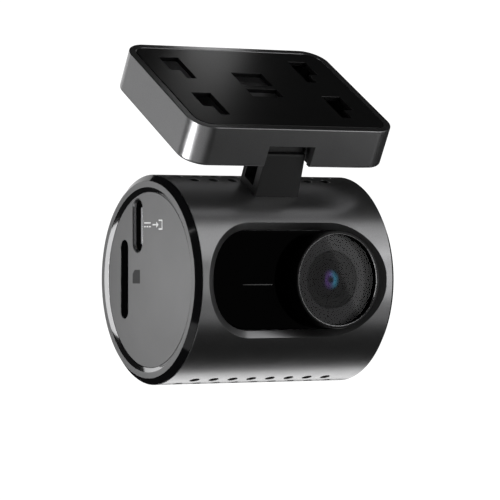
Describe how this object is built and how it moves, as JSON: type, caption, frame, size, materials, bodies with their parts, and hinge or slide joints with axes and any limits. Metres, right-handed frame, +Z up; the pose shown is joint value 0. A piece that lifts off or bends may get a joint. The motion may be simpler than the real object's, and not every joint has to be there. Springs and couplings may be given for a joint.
{
  "type": "dash camera",
  "caption": "Barrel-shaped dash camera with a stadium front window and round lens, hung by a short hinged neck from a flat slotted windscreen plate.",
  "frame": {"origin": "middle of the windscreen plate's mounting face", "axes": "+X along the barrel towards the button end, -Y where the lens looks, +Z up; the mounting face slopes 30 degrees, its high edge at the back"},
  "size_m": [0.0388, 0.0352, 0.0573],
  "materials": {
    "gunmetal_paint": "satin metallic paint",
    "polished_trim": "dark polished plating",
    "grey_plastic": "fine matte",
    "black_plastic": "matte",
    "panel_plastic": "smooth satin",
    "window_glass": "gloss black, printed on the back",
    "clear_glass": "polished",
    "coated_glass": "polished with a violet coating",
    "steel": "bright",
    "aluminium": "satin",
    "circuit_board": "solder mask",
    "chip": "moulded epoxy",
    "flex": "polyimide film",
    "light": "translucent",
    "sleeve": "shrink sleeve",
    "pad": "soft silicone"
  },
  "bodies": {
    "plate": {"plate_shell": "gunmetal_paint", "plate_panel": "panel_plastic", "hinge_pin": "steel", "pin_clip": "steel", "friction_washer_left": "steel", "friction_washer_right": "steel"},
    "camera": {"neck_arm": "black_plastic", "neck_clamp": "steel", "neck_screw_1": "steel", "neck_screw_2": "steel", "barrel_housing": "gunmetal_paint", "left_trim_ring": "polished_trim", "right_trim_ring": "polished_trim", "port_plate": "grey_plastic", "button_cap": "grey_plastic", "usb_shell": "steel", "usb_tongue": "chip", "card_socket": "aluminium", "button_switch": "chip", "button_board": "circuit_board", "front_window": "window_glass", "lens_bezel": "black_plastic", "lens_baffle": "grey_plastic", "lens_cover_glass": "clear_glass", "lens_barrel": "black_plastic", "front_element": "coated_glass", "rear_element": "coated_glass", "lens_holder": "black_plastic", "infrared_filter": "clear_glass", "image_sensor": "chip", "sensor_board": "circuit_board", "light_guide": "light", "status_led": "light", "light_board": "circuit_board", "inner_frame": "black_plastic", "main_board": "circuit_board", "board_screw_1": "steel", "board_screw_2": "steel", "board_screw_3": "steel", "board_screw_4": "steel", "processor": "chip", "memory_chip": "chip", "thermal_pad": "pad", "heat_sink": "aluminium", "sensor_flex": "flex", "supercapacitor_1": "sleeve", "supercapacitor_2": "sleeve", "wifi_module": "aluminium", "speaker": "black_plastic", "microphone": "aluminium"},
    "button": {"function_button": "grey_plastic"},
    "carriage": {"card_carriage": "black_plastic"}
  },
  "joints": [
    {"name": "tilt_hinge", "type": "hinge", "parent": "plate", "child": "camera", "pos_m": [-0.00042, -0.00675, -0.01001], "axis": [-1, 0, 0], "range_deg": [-15, 60]},
    {"name": "button_press", "type": "slide", "parent": "camera", "child": "button", "axis": [-1, 0, 0], "range_m": [0, 0.0006], "stiffness_N_per_m": 900, "springref_m": -0.0003},
    {"name": "card_eject", "type": "slide", "parent": "camera", "child": "carriage", "axis": [1, 0, 0], "range_m": [0, 0.0008], "stiffness_N_per_m": 600, "springref_m": -0.0003}
  ]
}
